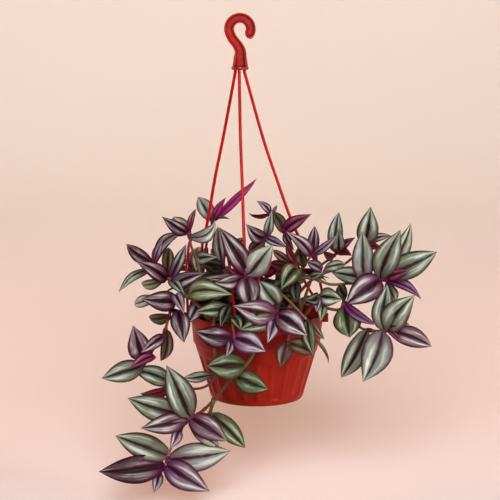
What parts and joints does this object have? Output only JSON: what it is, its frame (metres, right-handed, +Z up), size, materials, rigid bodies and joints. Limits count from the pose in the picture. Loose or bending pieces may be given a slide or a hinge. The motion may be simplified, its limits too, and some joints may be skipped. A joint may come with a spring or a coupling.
{
  "type": "hanging potted tradescantia",
  "caption": "Red plastic hanging pot with a hook and slim legs clipped to its rim, planted with a tradescantia whose striped leafy stems stand up and trail over the edge.",
  "frame": {"origin": "bearing point of the hook: the top of the inside of its eye, where it rests on what it hangs from", "axes": "+Z up along the way it hangs, +X to the right and +Y to the back as seen from the front, the side the main stem trails down"},
  "size_m": [0.3599, 0.243, 0.502],
  "materials": {
    "pot": "satin brick-red moulded plastic",
    "hook": "satin red moulded plastic",
    "legs": "glossy saturated red plastic",
    "soil": "dark moist crumbly potting soil",
    "foliage": "soft satin leaf, silver-green bands between purple stripes, purple underside"
  },
  "bodies": {
    "root": {"pot": "pot", "soil": "soil", "hook": "hook", "leg_left": "legs", "leg_front": "legs", "leg_right": "legs", "shoot_upper_left": "foliage", "shoot_behind_leg": "foliage", "shoot_left_tier": "foliage", "shoot_left_low": "foliage", "shoot_centre": "foliage", "shoot_centre_back": "foliage", "shoot_pale_left": "foliage", "shoot_front_left": "foliage", "shoot_front_right": "foliage", "shoot_front_low": "foliage", "shoot_right_edge": "foliage", "shoot_trailing": "foliage", "shoot_trailing_side": "foliage", "shoot_upper_centre": "foliage", "shoot_right_upper": "foliage", "shoot_right_hub": "foliage", "shoot_right_mid": "foliage", "shoot_right_back": "foliage", "shoot_right_high": "foliage", "shoot_right_trailing": "foliage", "shoot_right_soil": "foliage", "shoot_back_01": "foliage", "shoot_back_02": "foliage", "shoot_back_03": "foliage", "shoot_back_04": "foliage", "shoot_back_05": "foliage", "shoot_back_06": "foliage"}
  },
  "joints": []
}
